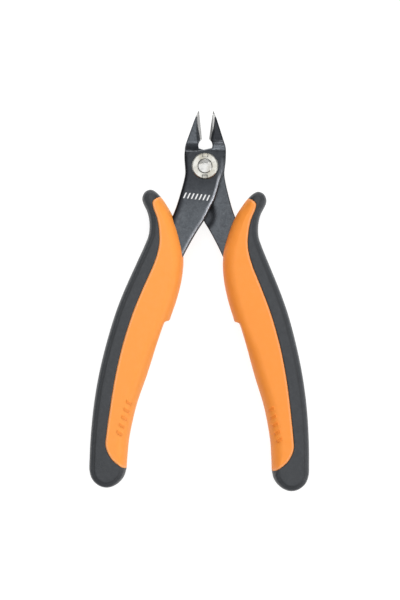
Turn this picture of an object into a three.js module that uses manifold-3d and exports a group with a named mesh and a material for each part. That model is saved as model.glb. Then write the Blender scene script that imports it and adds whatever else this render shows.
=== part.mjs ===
// Diagonal cutting pliers with two-colour grips, lying flat on their back.
// Millimetres. +Z is up (towards the nut side), +Y points along the jaws.
// Everything is drawn with the pivot axis on the Z axis; the last lines move
// the finished tool so that its plan view is centred on the origin.
//
// Both plates are the same stamping. The "half" drawn here is the upper one:
// its cutting jaw is on the right and its handle tang runs down to the left.
// The lower half is that half turned over about the Y axis.

import * as THREE from "three";
import { mergeVertices } from "three/addons/utils/BufferGeometryUtils.js";
import Module from "manifold-3d";

const wasm = await Module();
wasm.setup();

// ---------------------------------------------------------------- dimensions

// heights
const gripThickness = 12;
const midZ = gripThickness / 2;
const runningGap = 0.1;
const plateThickness = 2.95;
const plateBottom = midZ + runningGap / 2;
const plateTop = plateBottom + plateThickness;
const jawThickness = 3;
const jawBottom = midZ - jawThickness / 2;
const jawTop = midZ + jawThickness / 2;

// head and jaws
const restHalfAngle = THREE.MathUtils.degToRad(7);
const tipY = 18.5;
const tipWidth = 0.55;
const edgeStartY = 9.2;
const edgeRelief = 0.05;
const headHalfWidth = 6.9;
const throatY = 7.2;
const throatRadius = 2.35;
const rampStartY = 5.3;
const rampEndY = 7.6;
const underRampStartY = 5.8;
const underRampEndY = 7.5;
const bevelWidth = 1.25;
const plateChamfer = 0.45;

// pivot
const shankRadius = 2.4;
const boreRadius = 2.45;
const headRadius = 4.35;
const screwHeadHeight = 1.25;
const nutHeight = 1.3;
const nutSlotWidth = 1.8;
const nutSlotDepth = 0.7;
const shankAboveNut = 0.25;

// return spring and its pockets
const pocketCentre = new THREE.Vector2(2.3, -16);
const pocketRadius = 6.8;
const pocketDepth = 1;
const wireRadius = 0.36;
const coilRadius = 1.45;
const coilCentreY = -13.6;
const coilTurns = 1.35;
const coilRise = 0.84;

// grips
const gripEdgeRadius = 2.0;
const seamGap = 0.1;
const fitGap = 0.08;
const ledgeY = -51.5;
const tongueBottom = plateBottom - 1.5;
const tongueTop = plateTop + 1.2;

// ----------------------------------------------------------------- materials

const steelBlack = { color: 0x4b4e55, roughness: 0.45, metalness: 0.7 };
const nickel = { color: 0xd8d8d0, roughness: 0.25, metalness: 0.95 };
const springSteel = { color: 0x3c3d40, roughness: 0.4, metalness: 0.85 };
const charcoal = { color: 0x3a3c3f, roughness: 0.75, metalness: 0 };
const orange = { color: 0xf58a32, roughness: 0.6, metalness: 0 };

// ------------------------------------------------------------------- helpers

const point = (x, y) => new THREE.Vector2(x, y);
const points = (pairs) => pairs.map(([x, y]) => point(x, y));
const curve = (pairs, steps) => new THREE.SplineCurve(points(pairs)).getPoints(steps);

// A closed manifold solid from any closed three.js geometry.
function solid(geometry) {
  const bare = geometry.clone();
  bare.deleteAttribute("normal");
  bare.deleteAttribute("uv");
  const merged = mergeVertices(bare, 1e-5);
  const index = merged.index.array;
  const kept = [];
  for (let i = 0; i < index.length; i += 3) {
    const [a, b, c] = [index[i], index[i + 1], index[i + 2]];
    if (a !== b && b !== c && c !== a) kept.push(a, b, c);
  }
  return new wasm.Manifold(new wasm.Mesh({
    numProp: 3,
    vertProperties: new Float32Array(merged.attributes.position.array),
    triVerts: new Uint32Array(kept),
  }));
}

// A plain prism over an outline, between two heights.
function prism(outline, bottom, top) {
  const geometry = new THREE.ExtrudeGeometry(new THREE.Shape(outline), {
    depth: top - bottom,
    bevelEnabled: false,
    curveSegments: 1,
  });
  return geometry.translate(0, 0, bottom);
}

// The same with its rims broken; a negative width grows the outline instead.
function roundedPrism(outline, bottom, top, width, segments) {
  const grow = Math.max(0, -width);
  const size = Math.abs(width);
  const inset = grow > 0 ? 0 : size;
  const geometry = new THREE.ExtrudeGeometry(new THREE.Shape(outline), {
    depth: top - bottom - 2 * inset,
    bevelEnabled: true,
    bevelThickness: size,
    bevelSize: size,
    bevelOffset: -inset,
    bevelSegments: segments,
    curveSegments: 1,
  });
  return geometry.translate(0, 0, bottom + inset);
}

function box(minX, maxX, minY, maxY, minZ, maxZ) {
  const geometry = new THREE.BoxGeometry(maxX - minX, maxY - minY, maxZ - minZ);
  return geometry.translate((minX + maxX) / 2, (minY + maxY) / 2, (minZ + maxZ) / 2);
}

// An upright cylinder.
function post(radius, bottom, top, x = 0, y = 0, segments = 40) {
  const geometry = new THREE.CylinderGeometry(radius, radius, top - bottom, segments);
  return geometry.rotateX(Math.PI / 2).translate(x, y, (bottom + top) / 2);
}

// A turned piece on the pivot axis, from [radius, height] pairs.
function turned(profile, segments = 40) {
  const geometry = new THREE.LatheGeometry(points(profile), segments);
  return geometry.rotateX(Math.PI / 2);
}

function named(name, body, look) {
  const { vertProperties, triVerts } = body.getMesh();
  const geometry = new THREE.BufferGeometry();
  geometry.setAttribute("position", new THREE.BufferAttribute(vertProperties, 3));
  geometry.setIndex(new THREE.BufferAttribute(triVerts, 1));
  const flat = geometry.toNonIndexed();
  flat.computeVertexNormals();
  const mesh = new THREE.Mesh(flat, new THREE.MeshStandardMaterial(look));
  mesh.name = name;
  return mesh;
}

// The matching piece of the other half: turned over about the Y axis.
function turnedOver(name, mesh) {
  const geometry = mesh.geometry.clone();
  geometry.rotateY(Math.PI).translate(0, 0, 2 * midZ);
  const other = new THREE.Mesh(geometry, mesh.material.clone());
  other.name = name;
  return other;
}

// --------------------------------------------------------------- steel plate

// inner side of the handle tang: the part in sight, then inside the grip
const tangInnerInSight = [
  [6.5, -1.2], [6.1, -2.2], [5.35, -4.5], [3.85, -10], [2, -14], [-0.05, -18.2],
  [-2.2, -21.7], [-4.6, -26], [-6.9, -30.6],
];
const tangInnerHidden = [[-8.6, -34], [-12.2, -45], [-18.4, -62], [-24.4, -80], [-26.8, -91]];
const tangOuterHidden = [[-29.6, -91], [-27.4, -80], [-21.6, -58], [-16.8, -40], [-12.6, -24]];
const tangOuterInSight = [
  [-10.9, -18], [-9.45, -14], [-8.25, -10], [-7.2, -6], [-6.7, -3.6], [-6.55, -2], [-6.7, 0],
  [-headHalfWidth, 2], [-headHalfWidth, 4.2],
];

const tangInner = curve([...tangInnerInSight, ...tangInnerHidden], 40);
const tangOuter = curve([...tangOuterHidden, ...tangOuterInSight], 36);

const plateOutline = [
  ...curve([[headHalfWidth, rampStartY], [headHalfWidth, 2.2], [6.75, 0.4], [6.5, -1.2]], 6),
  ...tangInner.slice(1),
  point(-27.5, -92.4),
  point(-28.9, -92.4),
  ...tangOuter,
  ...points([[-6.6, 4.75], [-6.2, 4.95], [-2.8, 5.2], [-1.3, 5.4], [0.2, 5.65], [1.3, 5.95]]),
  ...points([[2.1, 6.17], [2.4, rampStartY]]),
];

// the jaw carries the cutting edge, at its rest angle to the centre line
const edgeX = (y) => y * Math.tan(restHalfAngle) + edgeRelief;

const throatArc = [];
for (const degrees of [-68, -46, -26, -8, 10, 28, 48]) {
  const turn = THREE.MathUtils.degToRad(degrees);
  throatArc.push(point(throatRadius * Math.cos(turn), throatY + throatRadius * Math.sin(turn)));
}

const jawOutline = [
  point(0.4, 3.4),
  ...throatArc,
  point(edgeX(edgeStartY), edgeStartY),
  point(edgeX(tipY), tipY),
  point(edgeX(tipY) + tipWidth * 0.4, tipY + 0.1),
  ...points([[3.25, 17.1], [3.65, 16], [6.35, 8.1], [6.7, 7], [headHalfWidth, 5.6]]),
  point(headHalfWidth, rampStartY),
  point(headHalfWidth - plateChamfer, 3.4),
];

// side view of the joggle that brings the jaw down to the middle height,
// drawn as [y, z] and swept across the whole width
const jogglePairs = [
  [2, plateBottom], [underRampStartY, plateBottom], [underRampEndY, jawBottom],
  [tipY + 2, jawBottom], [tipY + 2, jawTop], [rampEndY, jawTop], [rampStartY, plateTop],
  [2, plateTop],
];
const joggle = prism(points(jogglePairs), -20, 20).rotateX(Math.PI / 2).rotateZ(Math.PI / 2);

// wedges that grind the jaw to an edge at the middle height, one per face
const edgeLength = tipY - edgeStartY + 4;
const wedgePairs = [[-3, 0], [0, 0], [bevelWidth, jawThickness / 2], [bevelWidth, 4], [-3, 4]];

function groundBevel(side) {
  const outline = points(wedgePairs.map(([x, z]) => [x, side * z]));
  const wedge = prism(outline, -edgeLength, 0).rotateX(Math.PI / 2).rotateZ(-restHalfAngle);
  return solid(wedge.translate(edgeX(edgeStartY - 0.6), edgeStartY - 0.6, midZ));
}

const frontPlate = solid(roundedPrism(plateOutline, plateBottom, plateTop, plateChamfer, 1))
  .add(solid(prism(jawOutline, 0, gripThickness)).intersect(solid(joggle)))
  .subtract(groundBevel(1))
  .subtract(groundBevel(-1))
  .subtract(solid(post(boreRadius, 0, gripThickness)))
  .subtract(solid(post(
    pocketRadius, 0, plateBottom + pocketDepth, pocketCentre.x, pocketCentre.y, 56,
  )));

// --------------------------------------------------------------------- pivot

const screwHeadTop = 2 * midZ - plateTop - fitGap;
const nutBottom = plateTop;
const nutTop = nutBottom + nutHeight;
const shankTop = nutTop + shankAboveNut;

const screwBody = solid(turned([
  [0, screwHeadTop - screwHeadHeight],
  [headRadius - 0.4, screwHeadTop - screwHeadHeight],
  [headRadius, screwHeadTop - screwHeadHeight + 0.4],
  [headRadius, screwHeadTop],
  [shankRadius, screwHeadTop],
  [shankRadius, shankTop - 0.3],
  [shankRadius - 0.3, shankTop],
  [0, shankTop],
]));
const screwFlat = solid(box(-4, 4, 0.9, 4, nutTop + 0.02, shankTop + 1));
const pivotScrew = screwBody.subtract(screwFlat);

let pivotNut = solid(turned([
  [shankRadius + 0.05, nutBottom],
  [headRadius, nutBottom],
  [headRadius, nutTop - 0.35],
  [headRadius - 0.35, nutTop],
  [shankRadius + 0.6, nutTop],
  [shankRadius + 0.45, nutTop - 0.2],
  [shankRadius + 0.05, nutTop - 0.2],
  [shankRadius + 0.05, nutBottom],
]));
for (const side of [-1, 1]) {
  const near = side * (shankRadius + 0.7);
  const far = side * (headRadius + 1);
  const slot = box(
    -nutSlotWidth / 2, nutSlotWidth / 2, Math.min(near, far), Math.max(near, far),
    nutTop - nutSlotDepth, nutTop + 1,
  );
  pivotNut = pivotNut.subtract(solid(slot));
}

// ------------------------------------------------------------- return spring

// A short coil between the plates; one leg bears in each plate's pocket.
class SpringWire extends THREE.Curve {
  getPoint(t, target = new THREE.Vector3()) {
    const legShare = 0.26;
    const along = (t - legShare) / (1 - 2 * legShare);
    const turn = THREE.MathUtils.clamp(along, 0, 1);
    const startAngle = Math.PI * 0.5 + Math.PI * (coilTurns - 0.5);
    const angle = startAngle - 2 * Math.PI * coilTurns * turn + Math.PI * 0.5;
    const height = midZ + (0.5 - turn) * coilRise * coilTurns;
    target.set(
      coilRadius * Math.cos(angle),
      coilCentreY + coilRadius * Math.sin(angle),
      height,
    );
    const past = along < 0 ? -along : Math.max(0, along - 1);
    const legSide = along < 0 ? 1 : -1;
    const legLength = past * (1 - 2 * legShare) / legShare * 4.2;
    target.x += legSide * -Math.sin(angle) * legLength;
    target.y += legSide * Math.cos(angle) * legLength;
    return target;
  }
}
const wireSection = new THREE.Shape();
wireSection.absarc(0, 0, wireRadius, 0, 2 * Math.PI);
const returnSpring = solid(new THREE.ExtrudeGeometry(wireSection, {
  steps: 56,
  curveSegments: 4,
  bevelEnabled: false,
  extrudePath: new SpringWire(),
}));

// --------------------------------------------------------------------- grips

const gripOuterSide = [
  [-16.4, -8.7], [-18, -8], [-19.8, -8.8], [-20.75, -10.6], [-20.4, -12.7], [-19, -15.6],
  [-18.25, -19], [-18.4, -23], [-19.8, -27], [-22.4, -33], [-26.25, -42], [-29.15, -50],
  [-31.95, -60], [-34.15, -70], [-35.65, -80], [-36.5, -90], [-36.8, -99],
];
const gripButt = [
  [-36.8, -99], [-36.7, -102.6], [-35.6, -105.5], [-33.2, -107.5], [-30.3, -108],
  [-27.4, -106.8], [-25.3, -104.4], [-24.35, -101.5], [-24, -96],
];
const gripInnerSide = [
  [-24, -96], [-23.4, -90], [-21.3, -80], [-18.05, -70], [-15.1, -60], [-13, -53.4],
  [-10.2, -45], [-8.3, -38], [-7.4, -32], [-7.3, -28], [-8, -24], [-9.1, -20], [-10.85, -16],
  [-13.2, -12.2], [-14.9, -10], [-16.4, -8.7],
];
const padInnerSide = [
  [-12.2, -57], [-10.85, -51.4], [-8.7, -45], [-7.25, -39], [-6.6, -33], [-6.85, -28],
  [-7.85, -24.3], [-9.4, -20.6], [-11.6, -18.4],
];
const seam = [
  [-14.6, -10.5], [-16.4, -11.7], [-17.15, -13.1], [-16.7, -14.8], [-15.5, -18],
  [-14.8, -22], [-14.75, -27], [-16.35, -33], [-20.15, -42], [-23.2, -50], [-26.15, -60],
  [-28.3, -70], [-29.8, -80], [-31, -90], [-31.1, -94], [-29.3, -97.8], [-26.4, -100.1],
  [-24.2, -101.5],
];

const gripOutline = [
  ...curve(gripOuterSide, 30),
  ...curve(gripButt, 14).slice(1),
  ...curve(gripInnerSide, 30).slice(1, -1),
];
const padOutline = [
  point(-18, -57),
  ...curve(padInnerSide, 16),
  point(-14.2, -19),
  point(-14.2, -32),
];
const seamLine = curve(seam, 40);
const coverRegion = [
  point(-2, -8.5),
  ...seamLine,
  point(-22, -103),
  point(-2, -103),
];

const mainGrip = solid(roundedPrism(gripOutline, 0, gripThickness, gripEdgeRadius, 3));
const raisedPad = solid(roundedPrism(padOutline, 0, gripThickness, gripEdgeRadius, 3))
  .subtract(solid(box(-40, 0, -70, ledgeY, -1, gripThickness + 1)));
const wholeGrip = mainGrip.add(raisedPad);

// the hard core keeps a tongue inside the soft cover, and the tang runs in it
const tongueOutline = [
  ...curve([[-12.6, -26], [-10.6, -33], [-11, -42], [-16.2, -58], [-22.6, -78], [-25.4, -91]], 16),
  ...points([[-26, -95], [-31, -95]]),
  ...curve([[-33, -88], [-30.6, -74], [-27.4, -60], [-21.6, -42], [-17.6, -32], [-16.4, -26]], 16),
];
const tongue = solid(prism(tongueOutline, tongueBottom, tongueTop));
const tongueRoom = solid(roundedPrism(tongueOutline, tongueBottom, tongueTop, -seamGap, 1));
const tangRoom = solid(roundedPrism(plateOutline, plateBottom, plateTop, -fitGap, 1));

const coverMask = solid(prism(coverRegion, -1, gripThickness + 1));
const coverMaskRoom = solid(roundedPrism(coverRegion, -1, gripThickness + 1, -seamGap, 1));

const gripCore = wholeGrip
  .subtract(coverMaskRoom)
  .add(tongue)
  .subtract(tangRoom);
const gripCover = wholeGrip
  .intersect(coverMask)
  .subtract(tongueRoom)
  .subtract(tangRoom);

// ------------------------------------------------------------------ assembly

const frontPlateMesh = named("front_plate", frontPlate, steelBlack);
const leftCoreMesh = named("left_grip_core", gripCore, charcoal);
const leftCoverMesh = named("left_grip_cover", gripCover, orange);

const upperHalf = new THREE.Group();
upperHalf.name = "upper_half";
upperHalf.add(frontPlateMesh, leftCoreMesh, leftCoverMesh);

const lowerHalf = new THREE.Group();
lowerHalf.name = "lower_half";
lowerHalf.add(
  turnedOver("rear_plate", frontPlateMesh),
  turnedOver("right_grip_core", leftCoreMesh),
  turnedOver("right_grip_cover", leftCoverMesh),
);

const pivot = new THREE.Group();
pivot.name = "pivot";
pivot.add(
  named("pivot_screw", pivotScrew, nickel),
  named("pivot_nut", pivotNut, nickel),
  named("return_spring", returnSpring, springSteel),
);

const pliers = new THREE.Group();
pliers.name = "diagonal_cutting_pliers";
pliers.add(upperHalf, lowerHalf, pivot);

const extent = new THREE.Box3().setFromObject(pliers);
pliers.position.y = -(extent.min.y + extent.max.y) / 2;
pliers.updateMatrixWorld(true);

export default pliers;
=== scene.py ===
import math

import bmesh
import bpy
import numpy as np
from mathutils import Matrix, Vector
from mathutils.geometry import delaunay_2d_cdt
from mathutils.kdtree import KDTree


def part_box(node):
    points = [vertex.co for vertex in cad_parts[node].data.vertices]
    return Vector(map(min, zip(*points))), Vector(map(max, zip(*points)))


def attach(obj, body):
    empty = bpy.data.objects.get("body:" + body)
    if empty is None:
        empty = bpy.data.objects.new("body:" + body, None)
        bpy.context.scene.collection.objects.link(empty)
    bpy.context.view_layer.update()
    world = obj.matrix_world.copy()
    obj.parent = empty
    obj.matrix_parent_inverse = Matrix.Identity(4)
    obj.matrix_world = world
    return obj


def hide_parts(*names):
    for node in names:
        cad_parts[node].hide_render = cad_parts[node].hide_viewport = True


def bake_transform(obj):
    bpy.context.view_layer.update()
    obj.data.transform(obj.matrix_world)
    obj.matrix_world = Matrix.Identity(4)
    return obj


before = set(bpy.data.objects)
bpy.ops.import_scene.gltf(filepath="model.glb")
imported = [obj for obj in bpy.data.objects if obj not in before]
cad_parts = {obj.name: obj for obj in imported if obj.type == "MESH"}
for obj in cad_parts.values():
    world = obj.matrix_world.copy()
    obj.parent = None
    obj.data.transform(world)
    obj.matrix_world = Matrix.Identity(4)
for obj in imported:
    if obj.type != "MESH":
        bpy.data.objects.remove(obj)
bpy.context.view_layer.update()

# ---------------------------------------------------------------- dimensions
# Shapes are drawn in millimetres around the pivot axis, for the upper half:
# jaw on the right, handle tang to the left. The lower half is the same
# drawing turned over about the Y axis at the middle height.

nut_low, nut_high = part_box("pivot_nut")
screw_low, screw_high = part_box("pivot_screw")
_, plate_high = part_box("front_plate")
grip_low, grip_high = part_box("left_grip_core")

PIVOT = Vector(((nut_low.x + nut_high.x) / 2, (nut_low.y + nut_high.y) / 2, 0)) * 1000
MID = (grip_low.z + grip_high.z) * 500
PLATE_TOP = plate_high.z * 1000
RUNNING_GAP = 0.1
JAW_THICKNESS = 3
PLATE_BOTTOM = MID + RUNNING_GAP / 2
JAW_TOP = MID + JAW_THICKNESS / 2
JAW_BOTTOM = MID - JAW_THICKNESS / 2
NUT_TOP = nut_high.z * 1000
SCREW_TOP = screw_high.z * 1000
SCREW_BASE = screw_low.z * 1000
REST_HALF_ANGLE = math.radians(7)
SHARP_EDGE = math.radians(38)

EDGE_RELIEF = 0.05
EDGE_START, EDGE_FULL, TIP_Y = 9.2, 9.5, 18.7
THROAT_Y, THROAT_R = 7.2, 2.35
POCKET_X, POCKET_Y, POCKET_R, POCKET_DEPTH = 2.3, -16, 6.8, 0.75


# ------------------------------------------------------------- flat drawing

def spline(points, spacing):
    """Catmull-Rom curve through the points, resampled to an even spacing."""
    p = np.array(points, float)
    ends = np.vstack([2 * p[0] - p[1], p, 2 * p[-1] - p[-2]])
    made = []
    for a, b, c, d in zip(ends, ends[1:], ends[2:], ends[3:]):
        t = np.linspace(0, 1, 24, endpoint=False)[:, None]
        made.append(0.5 * (2 * b + (c - a) * t + (2 * a - 5 * b + 4 * c - d) * t ** 2
                           + (3 * b - a - 3 * c + d) * t ** 3))
    made.append(p[-1:])
    return resample(np.vstack(made), spacing)


def resample(line, spacing):
    steps = np.hypot(*np.diff(line, axis=0).T)
    along = np.concatenate([[0], np.cumsum(steps)])
    count = max(2, int(round(along[-1] / spacing)) + 1)
    wanted = np.linspace(0, along[-1], count)
    return np.column_stack([np.interp(wanted, along, line[:, k]) for k in (0, 1)])


def arc(cx, cy, r, start, end, count):
    t = np.radians(np.linspace(start, end, count))
    return np.column_stack([cx + r * np.cos(t), cy + r * np.sin(t)])


def distance(points, line, closed=False):
    """Distance from each point to a polyline."""
    a = line if closed else line[:-1]
    b = np.roll(line, -1, axis=0) if closed else line[1:]
    keep = np.hypot(*(b - a).T) > 1e-9
    a, b = a[keep], b[keep]
    ab = b - a
    length2 = (ab ** 2).sum(1)
    best = np.empty(len(points))
    for i in range(0, len(points), 2000):
        p = points[i:i + 2000, None, :]
        t = np.clip(((p - a) * ab).sum(2) / length2, 0, 1)
        gap = p - (a + ab * t[:, :, None])
        best[i:i + 2000] = np.sqrt((gap ** 2).sum(2)).min(1)
    return best


def inside(points, loops):
    """Even-odd test against several closed loops together."""
    flips = np.zeros(len(points), int)
    for loop in loops:
        a, b = loop, np.roll(loop, -1, axis=0)
        for i in range(0, len(points), 4000):
            x, y = points[i:i + 4000, 0:1], points[i:i + 4000, 1:2]
            crosses = (a[:, 1] > y) != (b[:, 1] > y)
            rise = np.where(np.abs(b[:, 1] - a[:, 1]) < 1e-12, 1e-12, b[:, 1] - a[:, 1])
            hit = crosses & (x < (b[:, 0] - a[:, 0]) * (y - a[:, 1]) / rise + a[:, 0])
            flips[i:i + 4000] += hit.sum(1)
    return flips % 2 == 1


def normals(line, closed):
    if closed:
        along = np.roll(line, -1, axis=0) - np.roll(line, 1, axis=0)
    else:
        along = np.gradient(line, axis=0)
    along /= np.maximum(np.hypot(*along.T), 1e-9)[:, None]
    return np.column_stack([-along[:, 1], along[:, 0]])


def area(loop):
    x, y = loop.T
    return 0.5 * np.sum(x * np.roll(y, -1) - y * np.roll(x, -1))


def smooth(x, low, high):
    t = np.clip((x - low) / (high - low), 0, 1)
    return t * t * (3 - 2 * t)


# --------------------------------------------------------------- solid pieces

def thin_out(points, others, gap):
    """Drops the points that lie nearer than gap to any of the others."""
    if not len(points) or not len(others):
        return points
    tree = KDTree(len(others))
    for i, (x, y) in enumerate(others):
        tree.insert((x, y, 0), i)
    tree.balance()
    keep = [tree.find((x, y, 0))[2] > gap for x, y in points]
    return points[np.array(keep)]


def relief(name, loops, insets, step, top, bottom, features=(), ground=None, paint=None):
    """A solid over a flat outline whose upper and lower faces follow height functions."""
    loops = [l if area(l) > 0 else l[::-1] for l in loops]
    loops = [loops[0]] + [l[::-1] for l in loops[1:]]
    rim = np.vstack(loops)
    drawn = [rim]
    for line, offsets in features:
        for offset in offsets:
            row = line + normals(line, False) * offset
            row = row[inside(row, loops)]
            drawn.append(thin_out(row, np.vstack(drawn), 0.045))
    rows = [rim]
    for inset in insets:
        for loop in loops:
            row = loop + normals(loop, True) * inset
            row = row[inside(row, loops)]
            off = distance(row, loops[0], True)
            for other in loops[1:]:
                off = np.minimum(off, distance(row, other, True))
            row = row[off > inset * 0.96]
            if len(drawn) > 1:
                row = thin_out(row, np.vstack(drawn[1:]), 0.13)
            rows.append(thin_out(row, np.vstack(rows), min(0.05, inset * 0.4)))
    rows += drawn[1:]
    low, high = rim.min(0), rim.max(0)
    xs = np.arange(low[0], high[0], step)
    ys = np.arange(low[1], high[1], step * 0.866)
    gx, gy = np.meshgrid(xs, ys)
    gx[1::2] += step / 2
    grid = np.column_stack([gx.ravel(), gy.ravel()])
    grid = grid[inside(grid, loops)]
    grid = thin_out(grid, np.vstack(rows), step * 0.6)
    rows.append(grid)
    flat = np.vstack(rows)
    edges, start = [], 0
    for loop in loops:
        n = len(loop)
        edges += [(start + i, start + (i + 1) % n) for i in range(n)]
        start += n
    found = delaunay_2d_cdt([Vector(p) for p in flat], edges, [], 0, 1e-7, False)
    flat = np.array([tuple(v) for v in found[0]])
    tris = np.array(found[2])
    tris = tris[inside(flat[tris].mean(1), loops)]
    a, b, c = flat[tris[:, 0]], flat[tris[:, 1]], flat[tris[:, 2]]
    turn = (b - a)[:, 0] * (c - a)[:, 1] - (b - a)[:, 1] * (c - a)[:, 0]
    tris[turn < 0] = tris[turn < 0][:, ::-1]
    tris = tris[np.abs(turn) > 1e-9]
    up, down = top(flat), bottom(flat)
    down = np.minimum(down, up)
    n = len(flat)
    verts = np.vstack([np.column_stack([flat, up]), np.column_stack([flat, down])])
    faces = [tuple(t) for t in tris] + [tuple(t[::-1] + n) for t in tris]
    sides = {}
    for t in tris:
        for i, j in ((t[0], t[1]), (t[1], t[2]), (t[2], t[0])):
            sides[(i, j)] = sides.get((i, j), 0) + 1
    for i, j in sides:
        if (j, i) not in sides:
            faces.append((j, i, i + n, j + n))
    return solid(name, verts, faces, ground, paint)


def solid(name, verts, faces, ground=None, paint=None):
    """A mesh object; welds its seams and keeps its sharp edges crisp."""
    mesh = bpy.data.meshes.new(name)
    mesh.from_pydata([tuple(v) for v in verts], [], [tuple(int(i) for i in f) for f in faces])
    bm = bmesh.new()
    bm.from_mesh(mesh)
    bmesh.ops.remove_doubles(bm, verts=bm.verts, dist=2e-4)
    bmesh.ops.dissolve_degenerate(bm, edges=bm.edges, dist=1e-5)
    for face in bm.faces:
        face.smooth = True
        if ground is not None:
            centre = face.calc_center_median()
            face.material_index = int(ground(centre.x, centre.y))
    for edge in bm.edges:
        if len(edge.link_faces) == 2 and edge.calc_face_angle(0) > SHARP_EDGE:
            edge.smooth = False
    bm.to_mesh(mesh)
    bm.free()
    for layer, amount in (paint or {}).items():
        spots = np.array([v.co for v in mesh.vertices])
        mesh.attributes.new(layer, "FLOAT", "POINT").data.foreach_set("value", amount(spots))
    obj = bpy.data.objects.new(name, mesh)
    bpy.context.scene.collection.objects.link(obj)
    return obj


def place(obj, body, nodes, materials, over=False):
    """Puts a piece drawn around the pivot into the row frame, turned over for the lower half."""
    turn = Matrix.Identity(4)
    if over:
        turn = Matrix.Translation((0, 0, 2 * MID)) @ Matrix.Rotation(math.pi, 4, "Y")
    to_row = Matrix.Scale(0.001, 4) @ Matrix.Translation(PIVOT) @ turn
    obj.data.transform(to_row)
    for made in materials:
        obj.data.materials.append(made)
    if body:
        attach(obj, body)
    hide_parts(*nodes)
    return obj


# ------------------------------------------------------------------ materials

class Nodes:
    """Small helper that builds one Principled material."""

    def __init__(self, name, colour, roughness, metallic=0.0, **sockets):
        self.material = bpy.data.materials.new(name)
        self.material.use_nodes = True
        self.tree = self.material.node_tree
        self.shader = self.tree.nodes["Principled BSDF"]
        self.colour = colour
        self.shader.inputs["Base Color"].default_value = (*colour, 1)
        self.shader.inputs["Roughness"].default_value = roughness
        self.shader.inputs["Metallic"].default_value = metallic
        for key, value in sockets.items():
            self.shader.inputs[key.replace("_", " ")].default_value = value
        self.place = self.tree.nodes.new("ShaderNodeTexCoord").outputs["Object"]

    def node(self, kind, **settings):
        made = self.tree.nodes.new(kind)
        for key, value in settings.items():
            setattr(made, key, value)
        return made

    def link(self, a, b):
        self.tree.links.new(a, b)

    def stretched(self, scale, rotation=(0, 0, 0), location=(0, 0, 0)):
        mapping = self.node("ShaderNodeMapping")
        mapping.inputs["Scale"].default_value = scale
        mapping.inputs["Rotation"].default_value = rotation
        mapping.inputs["Location"].default_value = location
        self.link(self.place, mapping.inputs["Vector"])
        return mapping.outputs["Vector"]

    def noise(self, scale, detail=4.0, roughness=0.6, where=None):
        made = self.node("ShaderNodeTexNoise")
        made.inputs["Scale"].default_value = scale
        made.inputs["Detail"].default_value = detail
        made.inputs["Roughness"].default_value = roughness
        self.link(where or self.place, made.inputs["Vector"])
        return made.outputs["Fac"]

    def spread(self, value, low, high, to_low, to_high):
        made = self.node("ShaderNodeMapRange")
        made.inputs["From Min"].default_value = low
        made.inputs["From Max"].default_value = high
        made.inputs["To Min"].default_value = to_low
        made.inputs["To Max"].default_value = to_high
        self.link(value, made.inputs["Value"])
        return made.outputs["Result"]

    def maths(self, operation, a, b=None):
        made = self.node("ShaderNodeMath", operation=operation)
        for socket, value in zip(made.inputs, (a, b)):
            if value is None:
                continue
            if isinstance(value, (int, float)):
                socket.default_value = value
            else:
                self.link(value, socket)
        return made.outputs["Value"]

    def tint(self, factor, other):
        """Mixes the base colour towards another by factor."""
        made = self.node("ShaderNodeMix", data_type="RGBA")
        self.link(factor, made.inputs["Factor"])
        before = self.shader.inputs["Base Color"]
        if before.links:
            self.link(before.links[0].from_socket, made.inputs["A"])
        else:
            made.inputs["A"].default_value = (*self.colour, 1)
        made.inputs["B"].default_value = (*other, 1)
        self.link(made.outputs["Result"], self.shader.inputs["Base Color"])

    def painted(self, layer):
        """The amount painted on the mesh under this name, 0 where there is none."""
        return self.node("ShaderNodeAttribute", attribute_name=layer).outputs["Fac"]

    def rough(self, value):
        self.link(value, self.shader.inputs["Roughness"])

    def bump(self, height, depth):
        """Adds a bump; depth is in metres."""
        made = self.node("ShaderNodeBump")
        made.inputs["Strength"].default_value = 1.0
        made.inputs["Distance"].default_value = depth
        self.link(height, made.inputs["Height"])
        before = self.shader.inputs["Normal"]
        if before.links:
            self.link(before.links[0].from_socket, made.inputs["Normal"])
        self.link(made.outputs["Normal"], self.shader.inputs["Normal"])

    def coordinate(self, rotation, centre):
        """X and Y of a small local frame in millimetres, turned and moved from the row frame."""
        shift = self.node("ShaderNodeVectorMath", operation="SUBTRACT")
        shift.inputs[1].default_value = centre
        self.link(self.place, shift.inputs[0])
        turn = self.node("ShaderNodeVectorRotate", rotation_type="Z_AXIS")
        turn.inputs["Angle"].default_value = -rotation
        self.link(shift.outputs["Vector"], turn.inputs["Vector"])
        scale = self.node("ShaderNodeVectorMath", operation="SCALE")
        scale.inputs["Scale"].default_value = 1000
        self.link(turn.outputs["Vector"], scale.inputs[0])
        split = self.node("ShaderNodeSeparateXYZ")
        self.link(scale.outputs["Vector"], split.inputs["Vector"])
        return split.outputs["X"], split.outputs["Y"]

    def bars(self, rotation, centre, length, height, pitch, share, lean):
        """Mask of a short row of slanted bars, 1 on a bar and 0 off it."""
        x, y = self.coordinate(rotation, centre)
        leaned = self.maths("SUBTRACT", x, self.maths("MULTIPLY", y, lean))
        cell = self.maths("FRACT", self.maths("ADD", self.maths("DIVIDE", leaned, pitch), 50.5))
        off = self.maths("ABSOLUTE", self.maths("SUBTRACT", cell, 0.5))
        on_bar = self.spread(off, share / 2 - 0.03, share / 2 + 0.03, 1, 0)
        tall = self.spread(self.maths("ABSOLUTE", y), height / 2 - 0.04, height / 2 + 0.04, 1, 0)
        wide = self.spread(self.maths("ABSOLUTE", leaned), length / 2 - 0.02, length / 2 + 0.02,
                           1, 0)
        return self.maths("MULTIPLY", self.maths("MULTIPLY", on_bar, tall), wide)


def row_point(x, y, z=0):
    return tuple((PIVOT + Vector((x, y, z))) * 0.001)


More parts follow.
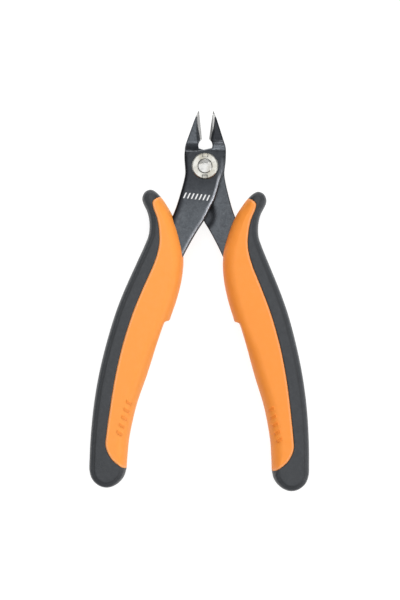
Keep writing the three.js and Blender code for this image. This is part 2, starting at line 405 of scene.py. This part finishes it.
# seven printed bars across the front plate; the share is how much of a pitch a bar fills
PRINT_CENTRE, PRINT_TURN = (-2.6, -10.2), math.radians(-5)
PRINT_LENGTH, PRINT_HEIGHT, PRINT_PITCH, PRINT_SHARE, PRINT_LEAN = 9.1, 1.9, 1.3, 0.34, 0.35


def scaled(colour, *factors):
    return tuple(c * f for c, f in zip(colour, factors * 3 if len(factors) == 1 else factors))


def black_oxide(name, printed=False):
    m = Nodes(name, (0.051, 0.0575, 0.0655), 0.36, 0.75)
    m.tint(m.spread(m.noise(260, 5), 0.35, 0.7, 0, 0.5), (0.086, 0.095, 0.106))
    m.tint(m.spread(m.noise(1700, 3), 0.42, 0.7, 0, 0.45), (0.098, 0.108, 0.12))
    m.tint(m.spread(m.noise(1100, 3), 0.55, 0.75, 0, 0.5), (0.03, 0.033, 0.04))
    m.rough(m.spread(m.noise(900, 4), 0.3, 0.7, 0.3, 0.46))
    m.bump(m.noise(2600, 3), 0.00003)
    m.bump(m.noise(500, 3), 0.00005)
    # Painted shade: darker where the mesh carries a shade amount.
    m.tint(m.painted("shade"), (0.012, 0.0135, 0.017))
    # Painted highlight, mottled by noise, where the mesh carries a highlight amount.
    m.tint(m.maths("MULTIPLY", m.painted("wear_and_highlight"), m.spread(m.noise(700, 3), 0.3, 0.55, 0.6, 1)),
           (0.42, 0.44, 0.48))
    if printed:
        mark = m.bars(PRINT_TURN, row_point(*PRINT_CENTRE), PRINT_LENGTH, PRINT_HEIGHT,
                      PRINT_PITCH, PRINT_SHARE, PRINT_LEAN)
        # Uneven wear of the print.
        wear_and_highlight = m.spread(m.noise(3000, 2), 0.3, 0.42, 0.6, 1)
        m.tint(m.maths("MULTIPLY", mark, wear_and_highlight), (0.55, 0.55, 0.55))
    return m.material


def ground_steel():
    m = Nodes("ground_steel", (0.5, 0.5, 0.49), 0.42, 0.85)
    lines = m.noise(1.0, 3, 0.6, m.stretched((900, 6000, 900)))
    m.tint(m.spread(lines, 0.35, 0.7, 0, 0.5), (0.3, 0.3, 0.3))
    m.rough(m.spread(lines, 0.3, 0.7, 0.36, 0.5))
    m.bump(lines, 0.00003)
    return m.material


def nickel(name, shade):
    m = Nodes(name, shade, 0.3, 1.0)
    m.tint(m.spread(m.noise(230, 3, 0.55), 0.42, 0.62, 0, 0.8), scaled(shade, 0.62, 0.58, 0.5))
    m.tint(m.spread(m.noise(900, 3), 0.5, 0.75, 0, 0.5), scaled(shade, 0.6))
    # Painted shade where the mesh carries a shade amount.
    m.tint(m.painted("shade"), scaled(shade, 0.3))
    m.rough(m.spread(m.noise(900, 3), 0.3, 0.7, 0.24, 0.38))
    m.bump(m.noise(500, 2), 0.00003)
    return m.material


def rubber(name, colour, other, roughness, grain, sheen, darker):
    m = Nodes(name, colour, roughness, 0.0, Specular_IOR_Level=sheen)
    m.tint(m.spread(m.noise(420, 4), 0.35, 0.7, 0, 0.5), other)
    m.rough(m.spread(m.noise(1200, 3), 0.3, 0.7, roughness - 0.07, roughness + 0.07))
    m.bump(m.noise(2600, 3), grain)
    # Painted shade where the mesh carries a shade amount.
    m.tint(m.painted("shade"), scaled(colour, *darker))
    # Painted highlight, paler, where the mesh carries a highlight amount.
    m.tint(m.painted("painted_highlight"), tuple(c * 0.7 + 0.27 for c in colour))
    return m.material


def wire_steel():
    m = Nodes("wire_steel", (0.07, 0.07, 0.075), 0.35, 0.9)
    m.rough(m.spread(m.noise(2500, 3), 0.3, 0.7, 0.3, 0.45))
    m.bump(m.noise(4000, 2), 0.00002)
    return m.material


oxide_front = black_oxide("black_oxide_front", printed=True)
oxide_rear = black_oxide("black_oxide_rear")
ground = ground_steel()

# --------------------------------------------------------------- steel plates

tang_inner = spline([
    (6.5, -1.2), (6.1, -2.2), (5.35, -4.5), (3.85, -10), (2, -14), (-0.05, -18.2),
    (-2.2, -21.7), (-4.6, -26), (-6.9, -30.6), (-8.6, -34), (-12.2, -45), (-18.4, -62),
    (-24.4, -80), (-26.8, -91),
], 0.4)
tang_outer = spline([
    (-29.6, -91), (-27.4, -80), (-21.6, -58), (-16.8, -40), (-12.6, -24), (-10.9, -18),
    (-9.45, -14), (-8.25, -10), (-7.2, -6), (-6.7, -3.6), (-6.55, -2), (-6.7, 0), (-6.9, 2),
    (-6.95, 4.2), (-6.7, 4.75), (-6.2, 4.95),
], 0.4)
head_top = spline([
    (-6.2, 4.95), (-4.6, 5.05), (-2.8, 5.2), (-1.3, 5.4), (0.2, 5.65), (1.3, 5.95), (2.11, 6.17),
], 0.25)


def edge_x(y):
    return y * math.tan(REST_HALF_ANGLE) + EDGE_RELIEF


throat = arc(0, THROAT_Y, THROAT_R, -26, 48, 16)
jaw_inner = spline([
    throat[-1], (edge_x(EDGE_START) + 0.16, EDGE_START), (edge_x(EDGE_FULL), EDGE_FULL),
], 0.2)
cutting_edge = resample(np.array([
    (edge_x(EDGE_FULL), EDGE_FULL), (edge_x(TIP_Y), TIP_Y),
]), 0.25)
jaw_outer = spline([
    (edge_x(TIP_Y), TIP_Y), (2.5, TIP_Y), (2.78, 18.1), (3.2, 17.15), (3.65, 16), (5.0, 12.1),
    (6.35, 8.1), (6.72, 6.9), (6.9, 5.4), (6.9, 2.2), (6.75, 0.4), (6.5, -1.2),
], 0.3)
tang_end = arc(-28.2, -91.1, 1.42, 5, -185, 8)
plate_loop = np.vstack([
    head_top[:-1], throat[:-1], jaw_inner[:-1], cutting_edge[:-1], jaw_outer[:-1],
    tang_inner[:-1], tang_end, tang_outer[:-1],
])
pocket = arc(POCKET_X, POCKET_Y, POCKET_R, 0, 360, 180)


def edge_distance(p):
    """Distance in from the cutting edge, measured square to it; large elsewhere."""
    c, s = math.cos(REST_HALF_ANGLE), math.sin(REST_HALF_ANGLE)
    return (p[:, 0] - EDGE_RELIEF) * c - p[:, 1] * s


def strip_width(y):
    return 0.66 + 0.26 * smooth(y, 10, 14) + 1.3 * smooth(y, 16.5, 18.3)


def shoulder_width(y):
    return 0.95 - 0.8 * smooth(y, 9.5, 16.5)


def ground_drop(p):
    """How far the jaw face falls towards the cutting edge."""
    d = edge_distance(p)
    strip = strip_width(p[:, 1])
    side = shoulder_width(p[:, 1])
    near = 1.46 - 0.3 * d
    far = (1.46 - 0.3 * strip) * (1 - np.clip((d - strip) / side, 0, 1))
    drop = np.where(d < strip, near, far)
    return drop * smooth(p[:, 1], 7.6, 8.9) * (1 - 0.35 * smooth(p[:, 1], 17.5, 18.7))


def edge_kept(p):
    """1 along the cutting edge, which is not rounded over, and 0 elsewhere."""
    return smooth(p[:, 1], 8.8, EDGE_START) * smooth(edge_distance(p), 1.2, 0.4)


def plate_top(p):
    d = distance(p, plate_loop, True)
    x, y = p.T
    ramp = smooth(y, 4.7, 8.3) * smooth(x, 0.6, 2.6)
    z = PLATE_TOP - (PLATE_TOP - JAW_TOP) * ramp
    reach = 1.35 - 0.9 * smooth(y, 3, 5) - 0.35 * smooth(-x, 2, 5) * smooth(y, -30, -10)
    keep_edge = edge_kept(p)
    depth = np.minimum(reach, 1.15) * (1 - keep_edge)
    t = 1 - np.clip(d / reach, 0, 1)
    z -= depth * (1 - np.sqrt(np.maximum(0, 1 - t * t)))
    lean = np.clip(x - edge_x(y), 0, 5) * 0.16 * smooth(y, 7.5, 9.5)
    return z - np.maximum(ground_drop(p), lean)


def plate_bottom(p):
    d = distance(p, plate_loop, True)
    x, y = p.T
    z = PLATE_BOTTOM - (PLATE_BOTTOM - JAW_BOTTOM) * smooth(y, 5.2, 8.0)
    reach = 0.4
    t = 1 - np.clip(d / reach, 0, 1)
    keep_edge = edge_kept(p)
    z += reach * (1 - keep_edge) * (1 - np.sqrt(np.maximum(0, 1 - t * t)))
    r = np.hypot(x - POCKET_X, y - POCKET_Y)
    z += POCKET_DEPTH * (1 - smooth(r, 4.2, 7.0))
    return z + ground_drop(p)


def is_ground(x, y):
    """Whether a face belongs to the bright strip ground along the cutting edge."""
    p = np.array([[x, y]])
    return y >= 9.05 and edge_distance(p)[0] < strip_width(p[:, 1])[0] + 0.01


highlight_side = np.vstack([jaw_outer[jaw_outer[:, 1] < 4][:-1], tang_inner])


def front_highlight(spots):
    """Painted highlight along the rounded right side of the upper half, along the head's top edge,
    and in lines across the jaw's steps.
    """
    flat, y = spots[:, :2], spots[:, 1]
    d = distance(flat, highlight_side)
    line = smooth(d, 0.35, 0.6) * (1 - smooth(d, 0.85, 1.3))
    line *= (0.5 + 0.5 * smooth(y, -21, -9)) * (1 - smooth(y, -4.5, -2)) * smooth(y, -30.5, -28)
    broad = 0.24 * smooth(d, 0.1, 0.4) * (1 - smooth(d, 0.9, 1.7))
    broad *= smooth(y, -5, -2) * (1 - smooth(y, 1.5, 3.5))
    rim = 0.3 * (1 - smooth(distance(flat, head_top), 0.1, 0.4))
    right = smooth(flat[:, 0], 0.8, 2.2)
    steps = 0.15 * right * np.exp(-((y - 8.95) / 0.16) ** 2)
    steps += 0.12 * right * np.exp(-((y - 8.1) / 0.14) ** 2)
    return np.clip(line + broad + rim + steps, 0, 1) * (spots[:, 2] > MID + 0.8)


def front_shade(spots):
    """Painted shade over the head and jaw of the upper plate, in a line across the jaw's step, and
    along its outer side.
    """
    x, y, z = spots.T
    head = 0.74 * smooth(y, -17, -4) * (1 - 0.92 * smooth(y, 5.2, 6.0) * (1 - smooth(y, 6.9, 7.4)))
    dark = 0.8 * np.exp(-((y - 7.6) / 0.3) ** 2) * smooth(x, 0.6, 2)
    side = 1 - smooth(distance(spots[:, :2], tang_outer), 0.9, 2.3)
    return np.maximum.reduce([head, side, dark]) * (z > MID + 0.3)


def rear_highlight(spots):
    """Painted light makes the step up to the lower plate's jaw grey, with a painted highlight line
    near its top.
    """
    _, y, z = spots.T
    step = 0.2 * smooth(y, 4.6, 5.4) * (1 - smooth(y, 6.9, 8.0))
    return (step + 0.1 * np.exp(-((y - 8.2) / 0.3) ** 2)) * (z < MID + 1.4)


def rear_shade(spots):
    """Painted shade darkens the lower plate in the spring pocket."""
    x, y, z = spots.T
    r = np.hypot(x - POCKET_X, y - POCKET_Y)
    return 0.62 * (1 - smooth(r, 5.6, 7.1)) * (z < MID + 1.4)


strip_ys = np.linspace(9.0, 18.4, 90)
strip_d = strip_width(strip_ys)
shoulder_d = strip_d + shoulder_width(strip_ys)


def edge_offset(ys, ds):
    c, s = math.cos(REST_HALF_ANGLE), math.sin(REST_HALF_ANGLE)
    return np.column_stack([EDGE_RELIEF + ys * s / c + ds / c, ys])


plate_features = [
    (edge_offset(strip_ys, strip_d), (-0.06, 0, 0.06)),
    (edge_offset(strip_ys, shoulder_d), (-0.05, 0.05)),
    (pocket, (-2.2, -1.6, -1.1, -0.7, -0.35, 0, 0.2)),
]
for y in np.arange(4.8, 9.0, 0.2):
    plate_features.append((np.column_stack([np.arange(-7, 7, 0.25), np.full(56, y)]), (0,)))


def steel_plate(name, material, paint):
    insets = (0.03, 0.09, 0.18, 0.3, 0.45, 0.65, 0.9, 1.15, 1.4)
    made = relief(name, [plate_loop], insets, 0.5, plate_top, plate_bottom, plate_features,
                  is_ground, paint)
    return made, [material, ground]


piece, looks = steel_plate("front_plate_steel", oxide_front,
                           {"wear_and_highlight": front_highlight, "shade": front_shade})
place(piece, "upper_half", ["front_plate"], looks)
piece, looks = steel_plate("rear_plate_steel", oxide_rear,
                           {"wear_and_highlight": rear_highlight, "shade": rear_shade})
place(piece, "lower_half", ["rear_plate"], looks, over=True)

# ---------------------------------------------------------------------- pivot

NUT_R = 4.35
END_R = 2.4
SLOT_HALF, SLOT_START = 0.86, 3.0
DRIVE_HALF, DRIVE_REACH = 0.54, 3.2
CHORD_Y, CHORD_SLOPE = 0.85, 0.14
circle = arc(0, 0, 1, 0, 360, 161)[:-1]


def nut_top(p):
    x, y = p.T
    r = np.hypot(x, y)
    z = NUT_TOP - 0.4 * smooth(r, NUT_R - 0.3, NUT_R + 0.05)
    z -= 0.05 * (1 - smooth(r, 2.5, 2.75))
    slot = (1 - smooth(np.abs(x), 0.82, 0.9)) * smooth(np.abs(y), 2.95, 3.05)
    return z - 0.62 * slot


def nut_shade(spots):
    """Painted shade along the slot walls and ends and in the gap around the screw; the lower
    slot's floor is darker.
    """
    x, y, _ = spots.T
    r = np.hypot(x, y)
    walls = np.exp(-((np.abs(x) - SLOT_HALF) / 0.13) ** 2) * smooth(np.abs(y), 2.8, 3.0)
    ends = np.exp(-((np.abs(y) - SLOT_START) / 0.12) ** 2) * (1 - smooth(np.abs(x), 0.85, 1.0))
    gap = 0.12 * (1 - smooth(r, 2.5, 2.65))
    foot = 0.4 * smooth(-y, 2.9, 3.2) * (1 - smooth(np.abs(x), 0.8, 0.9))
    return np.clip(0.75 * np.maximum(walls, ends) + gap + foot, 0, 0.9)


def nut_bottom(p):
    return np.full(len(p), PLATE_TOP - 0.02)


slot_lines = []
for side in (-1, 1):
    for x in (-SLOT_HALF, SLOT_HALF):
        wall = resample(np.array([(x, side * 2.7), (x, side * 4.34)]), 0.1)
        slot_lines.append((wall, (-0.06, 0, 0.06)))
    inner_end = resample(np.array([(-0.95, side * SLOT_START), (0.95, side * SLOT_START)]), 0.1)
    slot_lines.append((inner_end, (-0.06, 0, 0.06)))
slot_lines.append((circle * 2.65, (-0.08, 0.06)))

nut = relief("pivot_nut_body", [circle * NUT_R, circle * (END_R + 0.06)],
             (0.05, 0.12, 0.22, 0.34, 0.48), 0.22, nut_top, nut_bottom, slot_lines,
             paint={"shade": nut_shade})
place(nut, "upper_half", ["pivot_nut"],
      [nickel("nickel_nut", (0.43, 0.427, 0.4))])


def past_chord(x, y):
    """How far a point lies beyond the straight saw cut across the screw's end."""
    return y - (CHORD_Y + CHORD_SLOPE * x)


def end_top(p):
    x, y = p.T
    r = np.hypot(x, y)
    z = SCREW_TOP - 0.16 * smooth(r, END_R - 0.22, END_R + 0.02)
    chord = past_chord(x, y)
    return z - smooth(chord, -0.05, 0.05) * (0.08 + 0.12 * np.clip(chord, 0, 2))


def end_shade(spots):
    """Painted shade darkens the sawn-off segment of the screw end and part of its rim."""
    x, y, _ = spots.T
    chord = past_chord(x, y)
    rim = 0.35 * smooth(np.hypot(x, y), 2.1, 2.3) * smooth(-x - 0.3 * y, -0.5, 0.8)
    return np.clip(0.6 * smooth(chord, -0.06, 0.06) + rim, 0, 0.75)


chord_line = resample(np.array([(-2.3, 0.53), (2.3, 1.17)]), 0.1)
end = relief("pivot_screw_end", [circle * END_R], (0.05, 0.12, 0.2, 0.3, 0.4), 0.25, end_top,
             lambda p: np.full(len(p), PLATE_TOP - 0.5), [(chord_line, (-0.06, 0, 0.06))],
             paint={"shade": end_shade})
place(end, "upper_half", ["pivot_screw"],
      [nickel("nickel_screw", (0.41, 0.41, 0.4))])


def head_low(p):
    r = np.hypot(*p.T)
    z = SCREW_BASE + 0.5 * smooth(r, NUT_R - 0.7, NUT_R + 0.1) ** 1.5
    return z + 0.5 * (1 - smooth(np.abs(p[:, 0]), 0.5, 0.58)) * (1 - smooth(r, 3.1, 3.2))


drive_lines = [
    (resample(np.array([(x, -DRIVE_REACH), (x, DRIVE_REACH)]), 0.12), (-0.05, 0.05))
    for x in (-DRIVE_HALF, DRIVE_HALF)
]
head = relief("pivot_screw_head", [circle * NUT_R], (0.05, 0.15, 0.3, 0.5, 0.7), 0.3,
              lambda p: np.full(len(p), 2 * MID - PLATE_TOP), head_low, drive_lines)
place(head, "upper_half", ["pivot_screw"],
      [nickel("nickel_head", (0.5, 0.5, 0.47))])

# -------------------------------------------------------------- return spring

COIL_R, COIL_Y, TURNS, RISE, WIRE = 1.45, -13.6, 1.35, 0.84, 0.36


def spring_path():
    start = math.pi * 0.5 + math.pi * (TURNS - 0.5)
    line = []
    for along in np.linspace(0, 1, 73):
        angle = start - 2 * math.pi * TURNS * along + math.pi * 0.5
        line.append((COIL_R * math.cos(angle), COIL_Y + COIL_R * math.sin(angle),
                     MID + (0.5 - along) * RISE * TURNS))
    line = np.array(line)
    first, last = line[0] - line[1], line[-1] - line[-2]
    first[2] = last[2] = 0
    first /= np.linalg.norm(first)
    last /= np.linalg.norm(last)
    leg = np.linspace(4.2, 0.3, 12)[:, None]
    return np.vstack([line[0] + first * leg, line, line[-1] + last * leg[::-1]])


def tube(name, line, radius, sides=14):
    verts, faces = [], []
    along = np.gradient(line, axis=0)
    along /= np.linalg.norm(along, axis=1)[:, None]
    side = np.cross(along, (0, 0, 1.0))
    side /= np.linalg.norm(side, axis=1)[:, None]
    up = np.cross(side, along)
    for centre, u, v in zip(line, side, up):
        for k in range(sides):
            t = 2 * math.pi * k / sides
            verts.append(centre + radius * (math.cos(t) * u + math.sin(t) * v))
    for i in range(len(line) - 1):
        for k in range(sides):
            a, b = i * sides + k, i * sides + (k + 1) % sides
            faces.append((a, b, b + sides, a + sides))
    faces.append(tuple(range(sides)))
    faces.append(tuple(range(len(verts) - 1, len(verts) - sides - 1, -1)))
    return solid(name, verts, faces)


spring = tube("return_spring_wire", spring_path(), WIRE)
place(spring, None, ["return_spring"], [wire_steel()])
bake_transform(spring)

# ---------------------------------------------------------------------- grips

upper_run = [
    (-14.62, -10.35), (-13.2, -12.2), (-10.85, -16), (-9.1, -20), (-7.85, -24), (-6.85, -28),
    (-6.62, -31), (-6.65, -34), (-7.25, -39), (-8.7, -45), (-10.4, -50.2),
]
ledge = [
    (-10.75, -51.3), (-11.05, -51.75), (-11.75, -51.95), (-12.35, -52.2), (-12.85, -53.1),
    (-14.15, -57), (-15.1, -60),
]
no_ledge = [(-12.0, -54.4), (-13.75, -58.4), (-15.6, -62.6)]
lower_run = [(-18.05, -70), (-21.3, -80), (-23.4, -90), (-24, -96), (-24.3, -101.3)]
inner_side = spline(upper_run + ledge + lower_run, 0.4)
unstepped = spline(upper_run + no_ledge + lower_run, 0.4)
outer_side = spline([
    (-24.3, -101.3), (-25.2, -104.3), (-27.4, -106.8), (-30.3, -108), (-33.2, -107.5),
    (-35.6, -105.5), (-36.7, -102.6), (-36.8, -99), (-36.5, -90), (-35.65, -80),
    (-34.15, -70), (-31.95, -60), (-29.15, -50), (-26.25, -42), (-22.4, -33), (-19.8, -27),
    (-18.4, -23), (-18.25, -19), (-19, -15.6), (-20.4, -12.7), (-20.8, -10.8), (-19.9, -8.8),
    (-18, -8), (-16.3, -8.75), (-14.62, -10.35),
], 0.4)
seam = spline([
    (-14.62, -10.35), (-16.0, -11.2), (-17.0, -12.1), (-17.15, -13.1), (-16.7, -14.8),
    (-15.5, -18), (-14.8, -22), (-14.75, -27), (-16.35, -33), (-20.15, -42), (-23.2, -50),
    (-26.15, -60), (-28.3, -70), (-29.8, -80), (-31, -90), (-31.1, -94), (-29.3, -97.8),
    (-26.4, -100.3), (-24.3, -101.3),
], 0.4)
grip_loop = np.vstack([inner_side[:-1], outer_side[:-1]])
soft_loop = np.vstack([unstepped[:-1], outer_side[:-1]])
cover_loop = np.vstack([inner_side[:-1], seam[::-1][:-1]])
core_loop = np.vstack([outer_side[:-1], seam[:-1]])


def round_over(d, reach, power=2.0):
    t = 1 - np.clip(d / reach, 0, 1)
    return np.maximum(0, 1 - t ** power) ** (1 / power)


# five short slanted bars stand proud near the lower end of each cover
BAR_PITCH, BAR_WIDTH, BAR_HEIGHT, BAR_LEAN, BAR_RELIEF = 2.65, 0.95, 2.1, 0.3, 0.22
BAR_SPOTS = {"left": (-25.2, -84.3), "right": (-24.9, -85.6)}
BAR_TURN = math.radians(74)


def bar_share(p, spot):
    """1 on the raised bars and 0 off them, with short slopes at their sides."""
    c, s = math.cos(BAR_TURN), math.sin(BAR_TURN)
    x, y = (p - np.array(spot)).T
    across = c * y - s * x
    along = c * x + s * y - BAR_LEAN * across
    nearest = np.clip(np.round(along / BAR_PITCH), -2, 2) * BAR_PITCH
    in_width = BAR_WIDTH / 2 - np.abs(along - nearest)
    in_height = BAR_HEIGHT / 2 - np.abs(across)
    return smooth(np.minimum(in_width, in_height), -0.07, 0.07)


def bar_outlines(spot):
    c, s = math.cos(BAR_TURN), math.sin(BAR_TURN)
    w, h = BAR_WIDTH / 2, BAR_HEIGHT / 2
    lines = []
    for k in range(-2, 3):
        corners = []
        for side, end in ((-w, -h), (w, -h), (w, h), (-w, h), (-w, -h)):
            along, across = k * BAR_PITCH + side + BAR_LEAN * end, end
            corners.append((spot[0] + c * along - s * across, spot[1] + s * along + c * across))
        lines.append(resample(np.array(corners), 0.14))
    return lines


def grip_height(p, is_core):
    """Half the grip's thickness above each point."""
    d = distance(p, grip_loop, True)
    wide = distance(p, soft_loop, True)
    to_inner, to_outer = distance(p, inner_side), distance(p, outer_side)
    share = to_outer / (to_inner + to_outer + 1e-6)
    soft = smooth(share, 0.35, 0.75)
    h = MID * np.minimum(round_over(wide, 1.1 + 3.3 * soft, 2.0 + 0.2 * soft), round_over(d, 0.9))
    band = 1 - np.clip(d / 2.0, 0, 1)
    h -= (0.95 * band + 0.16 * np.exp(-((d - 1.95) / 0.22) ** 2)) * (1 - soft)
    to_seam = distance(p, seam)
    h -= 0.28 * (1 - np.clip(to_seam / 0.4, 0, 1)) ** 2 * np.clip(d / 0.6, 0, 1)
    if not is_core:
        h -= 0.12 * smooth(share, 0.6, 1.0)
    return np.maximum(h, 0)


def crease_shade(spots):
    """Painted shade in the parting crease that runs along the core near its outer side."""
    flat = spots[:, :2]
    d = distance(flat, grip_loop, True)
    share = distance(flat, outer_side) / (distance(flat, inner_side) + distance(flat, outer_side))
    return 0.7 * np.exp(-((d - 1.9) / 0.3) ** 2) * (1 - smooth(share, 0.3, 0.6))


def seam_highlight(spots):
    """Painted highlight on the cover's rounded rim beside the seam."""
    d = distance(spots[:, :2], seam)
    return 0.4 * smooth(d, 0.15, 0.3) * (1 - smooth(d, 0.4, 0.75))


def grip_piece(name, loop, spot=None, bars_on_top=True):
    """One moulding; with a spot given it is the cover, with the bars on its outer face."""
    is_core = spot is None
    insets = (0.02, 0.07, 0.15, 0.27, 0.42, 0.62, 0.88, 1.2, 1.55, 1.8, 2.0, 2.2, 2.45)
    features = [(seam, (-0.4, -0.25, -0.12, -0.03, 0.03, 0.12, 0.25, 0.4))]
    if not is_core:
        features += [(line, (-0.07, 0, 0.07)) for line in bar_outlines(spot)]

    def height(p, has_bars):
        h = grip_height(p, is_core)
        return h + BAR_RELIEF * bar_share(p, spot) if has_bars and not is_core else h

    # Painted shade on the raised bars of the cover's outer face.
    def bar_shade(spots):
        outer = spots[:, 2] > MID if bars_on_top else spots[:, 2] < MID
        return 0.5 * bar_share(spots[:, :2], spot) * outer

    paint = {"shade": crease_shade} if is_core else {"painted_highlight": seam_highlight, "shade": bar_shade}
    return relief(name, [loop], insets, 0.6, lambda p: MID + height(p, bars_on_top),
                  lambda p: MID - height(p, not bars_on_top), features, paint=paint)


charcoal = rubber("charcoal_rubber", (0.0265, 0.030, 0.035), (0.038, 0.043, 0.05), 0.55, 0.00009,
                  0.5, (0.45, 0.45, 0.45))
# The right cover gets a deeper orange than the left: painted shade, as the right grip is less lit.
ORANGE = {"left": (0.95, 0.335, 0.056), "right": (0.93, 0.3, 0.042)}
for side, body, over in (("left", "upper_half", False), ("right", "lower_half", True)):
    core = grip_piece(side + "_core_moulding", core_loop)
    place(core, body, [side + "_grip_core"], [charcoal], over)
    cover = grip_piece(side + "_cover_moulding", cover_loop, BAR_SPOTS[side], not over)
    paler = tuple(c + 0.015 for c in ORANGE[side])
    orange = rubber("orange_rubber_" + side, ORANGE[side], paler, 0.5, 0.00004,
                    0.28, (0.85, 0.6, 0.35))
    place(cover, body, [side + "_grip_cover"], [orange], over)

# ---------------------------------------------------------- floor, light, camera

bpy.ops.mesh.primitive_plane_add(size=4, location=(0, 0, -0.0003))
floor = bpy.context.object
floor.name = "floor"
pale = Nodes("pale_floor", (0.25, 0.25, 0.25), 0.9, Emission_Color=(1, 1, 1, 1),
             Emission_Strength=0.85)
pale.bump(pale.noise(60, 2), 0.00002)
floor.data.materials.append(pale.material)


def area_light(name, location, target, size, power):
    data = bpy.data.lights.new(name, "AREA")
    data.shape = "RECTANGLE"
    data.size, data.size_y = size
    data.energy = power
    lamp = bpy.data.objects.new(name, data)
    lamp.location = location
    aim = Vector(target) - Vector(location)
    lamp.rotation_euler = aim.to_track_quat("-Z", "Y").to_euler()
    bpy.context.scene.collection.objects.link(lamp)


area_light("overhead", (-0.06, 0.05, 0.95), (0, 0, 0), (0.9, 1.0), 5.45)
area_light("jaw_light", (0.05, 0.68, 0.36), (0, 0.05, 0), (0.5, 0.2), 2.6)
area_light("right_strip", (0.60, -0.24, 0.38), (0, 0.02, 0), (0.2, 0.4), 1.7)

world = bpy.data.worlds.new("studio")
world.use_nodes = True
sky = world.node_tree.nodes
direction = sky.new("ShaderNodeTexCoord")
split = sky.new("ShaderNodeSeparateXYZ")
fade = sky.new("ShaderNodeMapRange")
fade.inputs["From Min"].default_value = 0.2
fade.inputs["From Max"].default_value = 0.95
fade.inputs["To Min"].default_value = 0.26
fade.inputs["To Max"].default_value = 0.3
world.node_tree.links.new(direction.outputs["Generated"], split.inputs["Vector"])
world.node_tree.links.new(split.outputs["Z"], fade.inputs["Value"])
world.node_tree.links.new(fade.outputs["Result"], sky["Background"].inputs["Strength"])
sky["Background"].inputs["Color"].default_value = (1, 1, 1, 1)
bpy.context.scene.world = world

ROLL = math.radians(1.1)
LENS, SENSOR, FRAME_HEIGHT = 100.0, 36.0, 200.0
VIEW_CENTRE = (-0.81, -44.65)
reach = FRAME_HEIGHT * LENS / SENSOR
camera_data = bpy.data.cameras.new("camera")
camera_data.lens = LENS
camera_data.sensor_width = SENSOR
camera_data.clip_end = 10
camera = bpy.data.objects.new("camera", camera_data)
look_at = PIVOT + Vector((*VIEW_CENTRE, PLATE_TOP))
camera.location = (look_at + Vector((0, 0, reach))) * 0.001
camera.rotation_euler = (0, 0, ROLL)
bpy.context.scene.collection.objects.link(camera)
bpy.context.scene.camera = camera
bpy.context.scene.view_settings.view_transform = "Standard"
